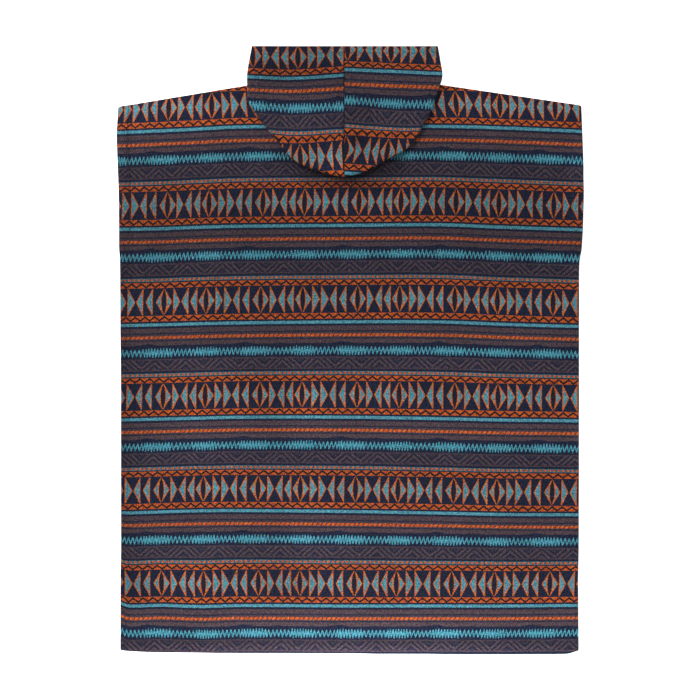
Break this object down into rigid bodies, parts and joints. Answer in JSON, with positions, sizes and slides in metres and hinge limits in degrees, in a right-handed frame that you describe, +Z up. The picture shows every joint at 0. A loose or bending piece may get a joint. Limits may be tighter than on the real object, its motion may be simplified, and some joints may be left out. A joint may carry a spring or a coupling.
{
  "type": "hooded bath poncho",
  "caption": "Pullover bath and beach poncho of printed velour towelling, laid flat on its front with the hood folded over the upper back.",
  "frame": {"origin": "on the surface the garment lies on, under the middle of its outline", "axes": "+Z up, away from the surface; +Y from the hem to the hood; +X to the right as the back is seen from above"},
  "size_m": [0.8863, 1.1552, 0.0146],
  "materials": {
    "body_towelling": "matt cut-pile velour towelling, printed in bands of navy, teal, orange and brown",
    "hood_towelling": "matt cut-pile velour towelling, printed in bands of navy, teal, orange and brown"
  },
  "bodies": {
    "root": {"front_panel": "body_towelling", "back_panel": "body_towelling", "hood_left": "hood_towelling", "hood_right": "hood_towelling"}
  },
  "joints": []
}
